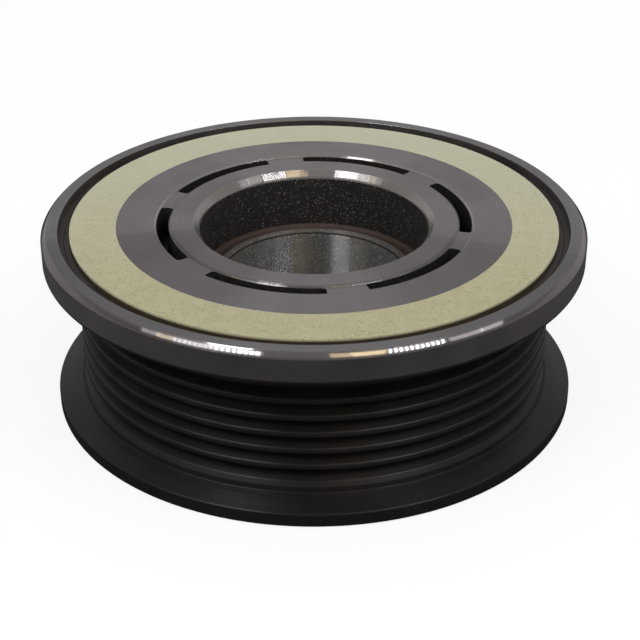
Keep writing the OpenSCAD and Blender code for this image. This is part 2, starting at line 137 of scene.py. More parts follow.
def rounded(profile):
    """A closed (radius, height, fillet, tag) outline, with an arc in place of each corner.

    Returns (radius, height, tag) points. The tag names the material of the edge that starts at the point.
    """
    points = []
    count = len(profile)
    for i, (r, z, fillet, tag) in enumerate(profile):
        here = Vector((r, z))
        before = Vector(profile[i - 1][:2]) - here
        after = Vector(profile[(i + 1) % count][:2]) - here
        u, v = before.normalized(), after.normalized()
        half = math.acos(max(-1.0, min(1.0, u.dot(v)))) / 2
        if fillet <= 0 or half > STRAIGHT:
            points.append((r, z, tag))
            continue
        shorter = min(before.length, after.length)
        reach_along = min(fillet / math.tan(half), MOST_OF_EDGE * shorter)
        radius = reach_along * math.tan(half)
        centre = here + (u + v).normalized() * (radius / math.sin(half))
        start = here + u * reach_along - centre
        sweep = start.angle_signed(here + v * reach_along - centre)
        step = SMALL_ARC_STEP if fillet < SMALL_ARC else ARC_STEP
        steps = max(2, round(math.degrees(abs(sweep)) / step))
        for k in range(steps + 1):
            a = -sweep * k / steps
            x = start.x * math.cos(a) - start.y * math.sin(a)
            y = start.x * math.sin(a) + start.y * math.cos(a)
            points.append((centre.x + x, centre.y + y, tag))
    return points


def finish_mesh(bm, name, materials):
    """Turns a bmesh in millimetres into a shaded object in the row frame."""
    bmesh.ops.remove_doubles(bm, verts=bm.verts, dist=SAME_POINT)
    bmesh.ops.dissolve_degenerate(bm, edges=bm.edges, dist=SAME_POINT)
    bmesh.ops.recalc_face_normals(bm, faces=bm.faces)
    bmesh.ops.scale(bm, vec=(MM, MM, MM), verts=bm.verts)
    mesh = bpy.data.meshes.new(name)
    bm.to_mesh(mesh)
    bm.free()
    for material in materials:
        mesh.materials.append(material)
    mesh.shade_smooth()
    mesh.set_sharp_from_angle(angle=SHARP)
    piece = bpy.data.objects.new(name, mesh)
    bpy.context.scene.collection.objects.link(piece)
    shading = piece.modifiers.new("flat faces stay flat", "WEIGHTED_NORMAL")
    shading.keep_sharp = True
    return piece


def add_columns(bm, columns, angles, tags, skip=None):
    """Joins a closed outline of (radius, height) points at each angle to the next one, all the way round.

    tags holds a material index per edge. skip(edge, column, next column) is true where no face is wanted.
    """
    rings = [
        [bm.verts.new((r * math.cos(a), r * math.sin(a), z)) for r, z in column]
        for column, a in zip(columns, angles)
    ]
    size = len(columns[0])
    for j in range(len(rings)):
        k = (j + 1) % len(rings)
        for i in range(size):
            n = (i + 1) % size
            if skip and skip(i, j, k):
                continue
            face = bm.faces.new((rings[j][i], rings[j][n], rings[k][n], rings[k][i]))
            face.material_index = tags[i]


def lathe(name, profile, materials):
    """A solid of revolution from a (radius, height, fillet, tag) outline. materials maps tag to material."""
    names = list(materials)
    points = rounded(profile)
    angles = [2 * math.pi * j / SEGMENTS for j in range(SEGMENTS)]
    bm = bmesh.new()
    column = [(r, z) for r, z, _ in points]
    add_columns(bm, [column] * SEGMENTS, angles, [names.index(tag) for _, _, tag in points])
    return finish_mesh(bm, name, list(materials.values()))


# ---------- node materials ----------

class Shader:
    """A material's node tree, with short calls that add and join nodes."""

    def __init__(self, name):
        self.material = bpy.data.materials.new(name)
        self.material.use_nodes = True
        self.tree = self.material.node_tree
        self.tree.nodes.clear()

    def node(self, kind, inputs=None, **settings):
        made = self.tree.nodes.new("ShaderNode" + kind)
        for key, value in settings.items():
            setattr(made, key, value)
        for key, value in (inputs or {}).items():
            if isinstance(value, bpy.types.NodeSocket):
                self.tree.links.new(value, made.inputs[key])
            else:
                made.inputs[key].default_value = value
        return made

    def math(self, operation, a, b=0.0, c=0.0, clamp=False):
        return self.node("Math", {0: a, 1: b, 2: c}, operation=operation, use_clamp=clamp).outputs[0]

    def vector(self, operation, a, b=(0, 0, 0)):
        made = self.node("VectorMath", {0: a, 1: b}, operation=operation)
        return made.outputs["Value" if operation in ("LENGTH", "DOT_PRODUCT") else "Vector"]

    def scaled(self, vector, factor):
        return self.node("VectorMath", {0: vector, "Scale": factor}, operation="SCALE").outputs[0]

    def place(self):
        """Position in the object's frame, in mm, as a vector and as x, y and z."""
        position = self.node("TexCoord").outputs["Object"]
        at = self.scaled(position, 1 / MM)
        split = self.node("SeparateXYZ", {0: at})
        return at, split.outputs[0], split.outputs[1], split.outputs[2]

    def noise(self, at, scale, detail=2.0, roughness=0.5):
        return self.node(
            "TexNoise", {"Vector": at, "Scale": scale, "Detail": detail, "Roughness": roughness}
        ).outputs["Fac"]

    def line_noise(self, at, scale, detail=2.0):
        made = self.node("TexNoise", {"W": at, "Scale": scale, "Detail": detail}, noise_dimensions="1D")
        return made.outputs["Fac"]

    def flatness(self):
        """How flat an angle the surface is seen at, from 0 to 1."""
        return self.node("LayerWeight", {"Blend": 0.5}).outputs["Facing"]

    def ramp(self, value, low_at, high_at, low_to=0.0, high_to=1.0):
        return self.node(
            "MapRange", {0: value, 1: low_at, 2: high_at, 3: low_to, 4: high_to}
        ).outputs[0]

    def mix(self, factor, a, b):
        made = self.node("Mix", data_type="RGBA")
        for socket, value in ((0, factor), (6, a), (7, b)):
            if isinstance(value, bpy.types.NodeSocket):
                self.tree.links.new(value, made.inputs[socket])
            else:
                made.inputs[socket].default_value = value
        return made.outputs[2]

    def surface(self, shader):
        output = self.node("OutputMaterial")
        self.tree.links.new(shader, output.inputs["Surface"])
        return self.material


# Painted reflection: wedges of a room mirrored in the turned steel, in degrees: middle, half width, softness;
# and step in brightness.
REFLECTION_WEDGES_PAINTED = (
    (266.5, 75.0, 1.0, -0.12), (271.0, 12.0, 16.0, 0.20), (90.0, 34.0, 5.0, 0.13), (15.0, 9.0, 1.0, 0.05),
    (201.0, 6.0, 12.0, -0.06),
)
RISE = 1.37                           # a ring pattern runs on up a wall, this much faster than along a face
SECOND_PATTERN = (31.0, 7.0, 3.0)     # shift that makes another pattern out of the same noise


def tone(r, g, b):
    """A colour given as the 0 to 255 values of a screen, in linear light."""
    def linear(c):
        c /= 255
        return c / 12.92 if c <= 0.04045 else ((c + 0.055) / 1.055) ** 2.4
    return (linear(r), linear(g), linear(b), 1.0)


def turned_normal(sh, slope, pitch, wander=0.0, threads=0.0):
    """Normal of a surface turned on a lathe: it rocks across the tool's rings and not along them.

    threads above 0 makes every ring an even wave that reaches the full slope, squarer as it grows.
    """
    at, x, y, z = sh.place()
    across = sh.node("CombineXYZ", {0: x, 1: y, 2: 0.0}).outputs[0]
    radius = sh.vector("LENGTH", across)
    normal = sh.node("TexCoord").outputs["Normal"]
    around = sh.vector("NORMALIZE", sh.vector("CROSS_PRODUCT", (0, 0, 1), across))
    meridian = sh.vector("CROSS_PRODUCT", around, normal)
    along = sh.math("MULTIPLY_ADD", z, RISE, radius)
    if threads:
        wave = sh.math("MULTIPLY", sh.math("SINE", sh.math("MULTIPLY", along, math.tau / pitch)), threads)
        tilt = sh.ramp(wave, -1.0, 1.0, -slope, slope)
    else:
        tilt = sh.math("MULTIPLY", sh.math("SUBTRACT", sh.line_noise(along, 1 / pitch, 1.0), 0.5), 2 * slope)
    if wander:
        drift = sh.math("SUBTRACT", sh.noise(at, 0.9, 3.0), 0.5)
        tilt = sh.math("MULTIPLY_ADD", drift, wander, tilt)
    bent = sh.vector("ADD", normal, sh.scaled(meridian, tilt))
    world = sh.node(
        "VectorTransform", {0: bent}, vector_type="NORMAL", convert_from="OBJECT", convert_to="WORLD"
    ).outputs[0]
    return world, radius, z, at


def painted_reflection_sectors(sh):
    """Painted reflection: brightness in wedges round the axis, standing in for a room of light and dark walls
    mirrored in a turned face.

    The wedges stay where they are in the room when the piece spins.
    """
    split = sh.node("SeparateXYZ", {0: sh.node("NewGeometry").outputs["Position"]})
    turn = sh.math("ARCTAN2", split.outputs[1], split.outputs[0])
    shade = 1.0
    for middle, half, softness, step in REFLECTION_WEDGES_PAINTED:
        nearness = sh.math("COSINE", sh.math("SUBTRACT", turn, math.radians(middle)))
        inside = sh.ramp(nearness, math.cos(math.radians(half + softness)), math.cos(math.radians(half)))
        shade = sh.math("MULTIPLY_ADD", inside, step, shade)
    return shade


def radial_tangent(sh):
    """Direction of a highlight's stretch on anything turned: round the axis."""
    return sh.node("Tangent", direction_type="RADIAL", axis="Z").outputs[0]


def turned_steel(
    name, colour, roughness=0.16, slope=0.16, pitch=0.12, dirt=0.1, threads=0.0, dust=0.0, haze=0.0
):
    """Bright steel with a lathe's rings, faint stains and painted reflection wedges in its colour.

    dust is how much its grains cover where they lie, and haze how much the fine dust between them does.
    """
    sh = Shader(name)
    normal, radius, z, at = turned_normal(sh, slope, pitch, 0.01, threads)
    stain = sh.ramp(sh.noise(at, 0.11, 4.0, 0.6), 0.38, 0.72)
    rings = sh.line_noise(sh.math("MULTIPLY_ADD", z, RISE, radius), 2.2, 3.0)
    shade = sh.math("MULTIPLY_ADD", rings, 0.16, 0.92)
    shade = sh.math("SUBTRACT", shade, sh.math("MULTIPLY", stain, dirt))
    # Painted reflection: the room's wedges lighten or darken the colour.
    shade = sh.math("MULTIPLY", shade, painted_reflection_sectors(sh))
    base = sh.scaled(colour[:3], shade)
    rough = sh.math("MULTIPLY_ADD", stain, 0.07, roughness)
    bsdf = sh.node("BsdfPrincipled", {
        "Base Color": base, "Metallic": 1.0, "Roughness": rough, "Anisotropic": 1.0,
        "Anisotropic Rotation": 0.25, "Tangent": radial_tangent(sh), "Normal": normal,
    })
    if not dust:
        return sh.surface(bsdf.outputs[0])
    grains = sh.node("BsdfDiffuse", {"Color": tone(225, 222, 216)})
    cover = sh.ramp(sh.noise(at, 4.6, 1.0), 0.64, 0.67, haze, dust)
    dusty = sh.node("MixShader", {0: cover, 1: bsdf.outputs[0], 2: grains.outputs[0]})
    return sh.surface(dusty.outputs[0])


def black_coating(name, colour, roughness=0.36, slope=0.05, pitch=0.5, dust=0.03, edge=0.0):
    """Thin black coating over turned steel: soft sheen, faint rings and dust.

    edge is how much a painted sheen pales the coating where it is seen at a flat angle.
    """
    sh = Shader(name)
    normal, _, _, at = turned_normal(sh, slope, pitch)
    grain = sh.noise(at, 5.0, 3.0, 0.6)
    specks = sh.ramp(sh.noise(at, 3.4, 2.0), 0.66, 0.74)
    patches = sh.ramp(sh.noise(at, 0.12, 3.0), 0.35, 0.7)
    shade = sh.mix(patches, colour, [c * 1.5 for c in colour[:3]] + [1.0])
    shade = sh.mix(sh.math("MULTIPLY", specks, dust), shade, tone(150, 140, 130))
    # Painted sheen: paler colour towards flat viewing angles.
    if edge:
        shade = sh.mix(sh.ramp(sh.flatness(), 0.13, 0.6, 0.0, edge), shade, tone(120, 114, 114))
    rough = sh.math("MULTIPLY_ADD", grain, 0.14, roughness - 0.07)
    bump = sh.node("Bump", {"Strength": 0.06, "Distance": 0.00005, "Height": grain, "Normal": normal})
    bsdf = sh.node("BsdfPrincipled", {
        "Base Color": shade, "Roughness": rough, "Specular IOR Level": 0.6, "Anisotropic": 0.8,
        "Anisotropic Rotation": 0.25, "Tangent": radial_tangent(sh), "Normal": bump.outputs[0],
    })
    return sh.surface(bsdf.outputs[0])


def friction_material(name):
    """Moulded friction composite: matte khaki, mottled, with fine dark and light grains, and a painted sheen
    at flat viewing angles.
    """
    sh = Shader(name)
    at = sh.place()[0]
    mottle = sh.ramp(sh.noise(at, 0.35, 5.0, 0.65), 0.35, 0.68)
    grain = sh.noise(at, 3.2, 4.0, 0.7)
    dark = sh.ramp(sh.noise(at, 2.6, 2.0, 0.6), 0.63, 0.68)
    light = sh.ramp(sh.noise(sh.vector("ADD", at, SECOND_PATTERN), 2.3, 2.0), 0.67, 0.74)
    shade = sh.mix(mottle, tone(173, 168, 136), tone(184, 180, 148))
    shade = sh.mix(sh.math("MULTIPLY", sh.ramp(grain, 0.35, 0.65), 0.5), shade, tone(156, 153, 124))
    shade = sh.mix(sh.math("MULTIPLY", dark, 0.8), shade, tone(96, 91, 74))
    shade = sh.mix(sh.math("MULTIPLY", light, 0.6), shade, tone(222, 218, 190))
    # Painted sheen: paler and greyer towards flat viewing angles.
    shade = sh.mix(sh.ramp(sh.flatness(), 0.53, 0.62, 0.0, 0.45), shade, tone(206, 207, 194))
    height = sh.math("SUBTRACT", grain, sh.math("MULTIPLY", dark, 0.5))
    bump = sh.node("Bump", {"Strength": 0.5, "Distance": 0.00006, "Height": height})
    bsdf = sh.node("BsdfPrincipled", {
        "Base Color": shade, "Roughness": 0.82, "Specular IOR Level": 0.25, "Normal": bump.outputs[0],
    })
    return sh.surface(bsdf.outputs[0])


def forged_material(name, colour, glint=0.7):
    """Rough forged steel with a brown-black scale and sparse painted glints: near-white specks in the colour
    for light caught by crystals.
    """
    sh = Shader(name)
    at = sh.place()[0]
    lumps = sh.noise(at, 1.1, 6.0, 0.7)
    grain = sh.noise(at, 5.5, 3.0, 0.7)
    painted_glints = sh.ramp(sh.noise(at, 4.6, 1.0), 0.675, 0.705)
    rust = sh.ramp(sh.noise(at, 0.22, 3.0), 0.4, 0.7)
    shade = sh.mix(rust, colour, [colour[0] * 1.15, colour[1] * 1.0, colour[2] * 0.95, 1.0])
    # Painted glints: near-white specks mixed into the colour.
    shade = sh.mix(sh.math("MULTIPLY", painted_glints, glint), shade, tone(235, 230, 224))
    height = sh.math("MULTIPLY_ADD", grain, 0.4, lumps)
    bump = sh.node("Bump", {"Strength": 0.9, "Distance": 0.00025, "Height": height})
    bsdf = sh.node("BsdfPrincipled", {
        "Base Color": shade, "Metallic": 0.35, "Roughness": 0.62, "Normal": bump.outputs[0],
    })
    return sh.surface(bsdf.outputs[0])


def rubber_material(name, colour):
    """Dull rubber with a little rust-coloured grease dust."""
    sh = Shader(name)
    at = sh.place()[0]
    rust = sh.ramp(sh.noise(at, 0.5, 4.0, 0.6), 0.4, 0.7)
    specks = sh.ramp(sh.noise(at, 4.5, 2.0), 0.68, 0.73)
    shade = sh.mix(rust, colour, [colour[0] * 1.4, colour[1] * 1.2, colour[2] * 1.1, 1.0])
    shade = sh.mix(sh.math("MULTIPLY", specks, 0.5), shade, tone(200, 180, 160))
    bump = sh.node("Bump", {"Strength": 0.3, "Distance": 0.0001, "Height": sh.noise(at, 2.5, 4.0)})
    bsdf = sh.node("BsdfPrincipled", {
        "Base Color": shade, "Roughness": 0.55, "Specular IOR Level": 0.4, "Normal": bump.outputs[0],
    })
    return sh.surface(bsdf.outputs[0])


def plain_metal(name, colour, roughness, mottle=0.15):
    """Pressed, plated or drawn metal with a soft mottle."""
    sh = Shader(name)
    at = sh.place()[0]
    cloud = sh.noise(at, 0.6, 5.0, 0.6)
    shade = sh.scaled(colour[:3], sh.ramp(cloud, 0.3, 0.7, 1 - mottle, 1 + mottle))
    rough = sh.ramp(cloud, 0.3, 0.7, roughness - 0.06, roughness + 0.08)
    bump = sh.node("Bump", {"Strength": 0.15, "Distance": 0.00005, "Height": sh.noise(at, 3.0, 4.0)})
    bsdf = sh.node("BsdfPrincipled", {
        "Base Color": shade, "Metallic": 1.0, "Roughness": rough, "Normal": bump.outputs[0],
    })
    return sh.surface(bsdf.outputs[0])


def moulded_plastic(name, colour, roughness=0.45):
    """Moulded plastic or cast resin with a faint grain."""
    sh = Shader(name)
    at = sh.place()[0]
    grain = sh.noise(at, 4.0, 4.0, 0.6)
    shade = sh.scaled(colour[:3], sh.ramp(sh.noise(at, 0.5, 3.0), 0.3, 0.7, 0.9, 1.1))
    bump = sh.node("Bump", {"Strength": 0.2, "Distance": 0.00004, "Height": grain})
    bsdf = sh.node("BsdfPrincipled", {
        "Base Color": shade, "Roughness": roughness, "Normal": bump.outputs[0],
    })
    return sh.surface(bsdf.outputs[0])


FACE_STEEL = turned_steel("turned_face", tone(180, 175, 176), slope=0.12, pitch=0.10)
MOUTH_STEEL = turned_steel(
    "turned_mouth", tone(182, 176, 174), 0.11, 0.07, 0.06, 0.05, threads=1.0, dust=0.10, haze=0.10
)
GROOVE_STEEL = turned_steel("turned_groove", tone(166, 161, 159), 0.12, 0.26, 0.06, threads=1.0)
BEVEL_STEEL = turned_steel("turned_bevel", tone(186, 180, 180), 0.09, 0.035, 0.06)
BORE_STEEL = turned_steel(
    "ground_bore", tone(138, 135, 133), 0.24, 1.15, 0.06, threads=1.8, dust=0.6, haze=0.08
)
RING_STEEL = turned_steel("ground_ring", tone(106, 98, 92), 0.35, 0.8, 0.06, threads=1.0, dust=0.5, haze=0.07)
RIM_STEEL = turned_steel("turned_rim", tone(172, 170, 171), slope=0.2, pitch=0.10)
COAT = black_coating("black_coat", tone(27, 23, 24), roughness=0.33)
# Darker copy of the black coat for the rear flange: painted shade.
COAT_REAR_PAINTED_SHADE = black_coating("rear_flange_coat_painted_shade", tone(21, 19, 20), roughness=0.33)
# Lighter copy of the black coat for the front flange's outer wall, with painted sheen at flat angles: painted
# light.
COAT_WALL_PAINTED_LIGHT = black_coating("flange_wall_coat_painted_light", tone(54, 50, 51), roughness=0.34, edge=0.25)
GAP_STEEL = black_coating("gap_coat", tone(52, 48, 46), roughness=0.5)
# Near-black for the lower part of the inner ring's chamfer: a painted shade line.
RING_CHAMFER_PAINTED_SHADE = moulded_plastic("ring_chamfer_painted_shade", tone(34, 31, 30), 0.8)
FORGED = forged_material("forged_wall", tone(46, 43, 43))
# Darker, duller copy of the forged steel for the slot walls and the hub's and shell's hidden sides: painted
# shade.
FORGED_PAINTED_SHADE = forged_material("forged_painted_shade", tone(40, 37, 36), glint=0.2)
LINING = friction_material("friction_lining")
# Dark colour for the lower part of the lining's outer side, down in the gap: painted shade.
LINING_SIDE_PAINTED_SHADE = rubber_material("lining_side_painted_shade", tone(66, 60, 47))
SEAL_RUBBER = rubber_material("seal_rubber", tone(60, 49, 43))


# ---------- pulley ----------

def slot_columns():
    """Angles round the face, each with the half width of the slot there: 0 on a bridge between slots."""
    squareness = 0.6          # below 1, the slot's end is squarer than a half ellipse
    end_turn = math.degrees(0.8 / SLOT_MID)
    straight = SLOT_SPAN / 2 - end_turn
    pitch = 360 / SLOT_COUNT
    end_steps, straight_steps, bridge_steps = 10, 42, 14
    columns = []
    for s in range(SLOT_COUNT):
        mid = SLOT_TURN + s * pitch
        ends = [math.radians(90) * k / end_steps for k in range(end_steps)]
        for a in ends:
            turn = straight + end_turn * math.cos(a) ** squareness
            columns.append((mid - turn, SLOT_HALF * math.sin(a) ** squareness))
        for k in range(straight_steps):
            columns.append((mid - straight + 2 * straight * k / straight_steps, SLOT_HALF))
        for a in ends:
            turn = straight + end_turn * math.sin(a) ** squareness
            columns.append((mid + turn, SLOT_HALF * math.cos(a) ** squareness))
        for k in range(bridge_steps):
            gap = pitch - SLOT_SPAN
            columns.append((mid + SLOT_SPAN / 2 + gap * k / bridge_steps, 0.0))
    return [(math.radians(a), half) for a, half in columns]


def rotor_shell(bm, outline, columns, tags):
    """One side of the slotted rotor. outline(half width, lip fillet) gives the outline at one angle."""
    rows = [outline(half, min(SLOT_LIP, 0.45 * half)) for _, half in columns]
    walls = [i for i, (_, _, tag) in enumerate(rows[0]) if tag == "slot"]

    def on_bridge(i, j, k):
        return i in walls and columns[j][1] == 0 and columns[k][1] == 0

    points = [[(r, z) for r, z, _ in row] for row in rows]
    edge_tags = [tags.index(tag) for _, _, tag in rows[0]]
    add_columns(bm, points, [a for a, _ in columns], edge_tags, skip=on_bridge)


def lip_arc(wall_r, floor, fillet, side):
    """Rounded upper edge of a slot's wall, from the groove's floor down to the wall."""
    steps = 4
    turns = [math.radians(90) * k / steps for k in range(steps + 1)]
    return [(wall_r + side * fillet * (1 - math.sin(a)), floor - fillet * (1 - math.cos(a))) for a in turns]


def open_run(profile):
    """rounded() for an outline whose first and last corners are joined to other points later."""
    first, last = profile[0], profile[-1]
    return rounded([(*first[:2], 0.0, first[3]), *profile[1:-1], (*last[:2], 0.0, last[3])])


def build_rotor():
    """Slotted face with its hub and outer shell, turned from one forging."""
    materials = {
        "face": FACE_STEEL, "mouth": MOUTH_STEEL, "groove": GROOVE_STEEL, "forged": FORGED,
        "dark": FORGED_PAINTED_SHADE, "gap": GAP_STEEL, "slot": FORGED_PAINTED_SHADE, "seat": BORE_STEEL,
    }
    floor = FACE - SLOT_DEPTH
    mouth_z = FACE - MOUTH_DEPTH
    hub_run = open_run([
        (SLOT_FLOOR_IN, floor, 0.0, "groove"), (SLOT_FLOOR_IN - 0.12, floor + 0.13, 0.15, "groove"),
        (SLOT_TOP_IN, FACE, 0.25, "face"), (MOUTH_R, FACE, 0.10, "mouth"),
        (MOUTH_R - 0.98, FACE - 1.17, 0.1, "mouth"), (OPENING_R + 0.04, mouth_z, 0.1, "mouth"),
        (OPENING_R, mouth_z - 0.25, 0.1, "forged"),
        (OPENING_R, BEARING_HIGH, SMALL, "forged"), (SEAT_R, BEARING_HIGH, SMALL, "seat"),
        (SEAT_R, BEARING_LOW, SMALL, "seat"), (CIRCLIP_R, BEARING_LOW, SMALL, "seat"),
        (CIRCLIP_R, CIRCLIP_LOW, SMALL, "seat"), (SEAT_R, CIRCLIP_LOW, SMALL, "seat"),
        (SEAT_R, HUB_END, 0.3, "seat"), (HUB_R, HUB_END, 0.3, "dark"), (HUB_R, PLATE_UNDER, 0.0, "dark"),
    ])
    shell_run = open_run([
        (SHELL_IN, PLATE_UNDER, 0.0, "dark"), (SHELL_IN, SHELL_END, 0.3, "dark"),
        (SHELL_OUT, SHELL_END, 0.3, "dark"), (SHELL_OUT, FACE - FLANGE_T, SMALL, "dark"),
        (FLANGE_R, FACE - FLANGE_T, SMALL, "dark"), (FLANGE_R, FACE - GAP_DEPTH, 0.1, "gap"),
        (LINING_OUT, FACE - GAP_DEPTH, SMALL, "gap"), (LINING_OUT, FACE - LINING_T, SMALL, "gap"),
        (LINING_IN, FACE - LINING_T, SMALL, "face"), (LINING_IN, FACE, 0.05, "face"),
        (SLOT_TOP_OUT, FACE, SMALL, "mouth"), (SLOT_FLOOR_OUT, floor, 0.0, "face"),
    ])

    def hub(half, lip):
        arc = lip_arc(SLOT_MID - half, floor, lip, -1)
        return hub_run + [(SLOT_MID - half, PLATE_UNDER, "slot")] + [(r, z, "face") for r, z in reversed(arc)]

    def shell(half, lip):
        arc = lip_arc(SLOT_MID + half, floor, lip, 1)
        top = [(r, z, "face") for r, z in arc[:-1]] + [(*arc[-1], "slot")]
        return shell_run + top + [(SLOT_MID + half, PLATE_UNDER, "dark")]

    columns = slot_columns()
    bm = bmesh.new()
    rotor_shell(bm, hub, columns, list(materials))
    rotor_shell(bm, shell, columns, list(materials))
    return finish_mesh(bm, "rotor_turned", list(materials.values()))


def build_rim():
    """Grooved ring with its two flanges."""
    profile = [
        (RIM_INNER_R, FACE - GAP_DEPTH, 0.15, "gap"), (RIM_INNER_R, RIM_TOP, 0.12, "rim"),
        (RIM_R - BEVEL_W, RIM_TOP, 0.12, "bevel"),
        (RIM_R - 0.63 * BEVEL_W, RIM_TOP - 0.30 * BEVEL_DROP, 2.0, "bevel"),
        (RIM_R - 0.29 * BEVEL_W, RIM_TOP - 0.63 * BEVEL_DROP, 2.0, "bevel"),
        (RIM_R, RIM_TOP - BEVEL_DROP, 0.2, "wall"),
        (RIM_R, FACE - WALL_DEPTH, 1.1, "coat"),
        (CREST_R + 0.8, FIRST_GROOVE_Z + GROOVE_HALF + 0.7, 0.5, "coat"),
    ]
    for g in range(GROOVES):
        z = FIRST_GROOVE_Z - g * PITCH
        profile += [
            (CREST_R, z + GROOVE_HALF, 0.5, "coat"), (ROOT_R, z + ROOT_HALF, 0.18, "coat"),
            (ROOT_R, z - ROOT_HALF, 0.18, "coat"), (CREST_R, z - GROOVE_HALF, 0.5, "coat"),
        ]
    land_z = FIRST_GROOVE_Z - (GROOVES - 1) * PITCH - GROOVE_HALF - 1
    step_z = land_z - 1.2
    profile += [
        (CREST_R + 0.6, land_z, 0.4, "coat"), (CREST_R + 0.6, step_z, 0.15, "coat"),
        (CREST_R + 2.2, step_z - 0.3, 0.4, "rear"), (REAR_R, REAR_WALL_Z, 0.4, "rear"),
        (REAR_R, 0.0, 0.5, "rear"), (REAR_MOUTH_R, 0.0, 0.3, "coat"),
        (SHELL_OUT, REAR_MOUTH_Z, 0.2, "coat"), (SHELL_OUT, FACE - FLANGE_T, SMALL, "coat"),
        (COUNTERBORE_R, FACE - FLANGE_T, SMALL, "gap"), (COUNTERBORE_R, FACE - GAP_DEPTH, 0.1, "gap"),
    ]
    materials = {
        "rim": RIM_STEEL, "bevel": BEVEL_STEEL, "wall": COAT_WALL_PAINTED_LIGHT, "coat": COAT, "rear": COAT_REAR_PAINTED_SHADE,
        "gap": GAP_STEEL,
    }
    return lathe("pulley_rim_turned", profile, materials)


def build_lining():
    """Friction lining: a flat ring whose outer side keeps the lining's colour in a band at the top and is
    painted dark below it as shade in the gap.
    """
    band_above_painted_shade = 0.45
    profile = [
        (LINING_IN, FACE - LINING_T, 0.05, "lining"), (LINING_OUT, FACE - LINING_T, 0.05, "side"),
        (LINING_OUT, FACE - band_above_painted_shade, 0.0, "lining"), (LINING_OUT, FACE, 0.25, "lining"),
        (LINING_IN, FACE, 0.04, "lining"),
    ]
    return lathe("friction_lining", profile, {"lining": LINING, "side": LINING_SIDE_PAINTED_SHADE})


def ride_and_replace(piece, body, node):
    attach(piece, body)
    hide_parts(node)


ride_and_replace(build_rotor(), "rotor", "rotor")
ride_and_replace(build_rim(), "rotor", "pulley_rim")
ride_and_replace(build_lining(), "rotor", "friction_ring")


# ---------- bearing ----------

def build_inner_ring():
    """Bearing inner ring with its ground bore and the two raceways."""
    end_r = 20.6
    land_r = reach("bearing_inner_ring")
    step = 2.0
    z0, z1 = low("bearing_inner_ring"), high("bearing_inner_ring")
    chamfer = 0.6
    shade_w = 0.25            # width of the chamfer's lower part, painted dark as shade
    profile = [
        (NOSE_R, z0 + chamfer, 0.2, "bore"), (NOSE_R, z1 - chamfer, 0.1, "shade"),
        (NOSE_R + shade_w, z1 - chamfer + shade_w, 0.0, "ring"),
        (NOSE_R + chamfer, z1, 0.1, "ring"), (end_r, z1, 0.15, "ring"), (end_r, z1 - step, 0.1, "ring"),
        (land_r, z1 - step, 0.1, "ring"),
    ]
    race_r, pitch_r, row_half = 2.42, (NOSE_R + SEAT_R) / 2, 3.5
    middle = (z0 + z1) / 2
    half_open = math.degrees(math.asin((pitch_r - land_r) / race_r))
    race_steps = 8
    for row in (row_half, -row_half):
        for k in range(race_steps + 1):
            a = math.radians(90 + half_open + (180 - 2 * half_open) * k / race_steps)
            profile.append((pitch_r + race_r * math.cos(a), middle + row + race_r * math.sin(a), 0.0, "bore"))
    profile += [
        (land_r, z0 + step, 0.1, "bore"), (end_r, z0 + step, 0.1, "bore"), (end_r, z0, 0.15, "bore"),
        (NOSE_R + chamfer, z0, 0.2, "bore"),
    ]
    materials = {"bore": BORE_STEEL, "ring": RING_STEEL, "shade": RING_CHAMFER_PAINTED_SHADE}
    return lathe("bearing_inner_ring_ground", profile, materials)


def build_seal(side, node):
    """Rubber seal with a raised bead at each edge and a shallow dish between them."""
    inner_r, outer_r = bore(node), reach(node)
    outside, inside = (high(node), low(node)) if side > 0 else (low(node), high(node))
    pocket = inside + side * 0.4              # bottom of the recess that the steel washer fills
    pocket_inner_r, pocket_outer_r = inner_r + 0.84, outer_r - 0.7
    lip = outside - side * 0.25
    dish = outside - side * 0.2
    brim = outside + side * 0.5
    outline = [
        (inner_r, inside, 0.1), (inner_r, lip, 0.1), (inner_r + 0.3, outside, 0.15),
        (inner_r + 0.8, outside, 0.15), (inner_r + 1.1, dish, 0.2), (outer_r - 2.9, dish, 0.2),
        (outer_r - 2.2, brim, 0.3), (outer_r, brim, 0.1), (outer_r, inside, 0.1),
        (pocket_outer_r, inside, 0.05), (pocket_outer_r, pocket, 0.05), (pocket_inner_r, pocket, 0.05),
        (pocket_inner_r, inside, 0.05),
    ]
    profile = [(*corner, "rubber") for corner in outline]
    return lathe(node + "_moulded", profile, {"rubber": SEAL_RUBBER})


ride_and_replace(build_inner_ring(), "fixed_side", "bearing_inner_ring")
ride_and_replace(build_seal(1, "front_seal"), "rotor", "front_seal")
ride_and_replace(build_seal(-1, "rear_seal"), "rotor", "rear_seal")


# ---------- CAD nodes that keep their own shape ----------

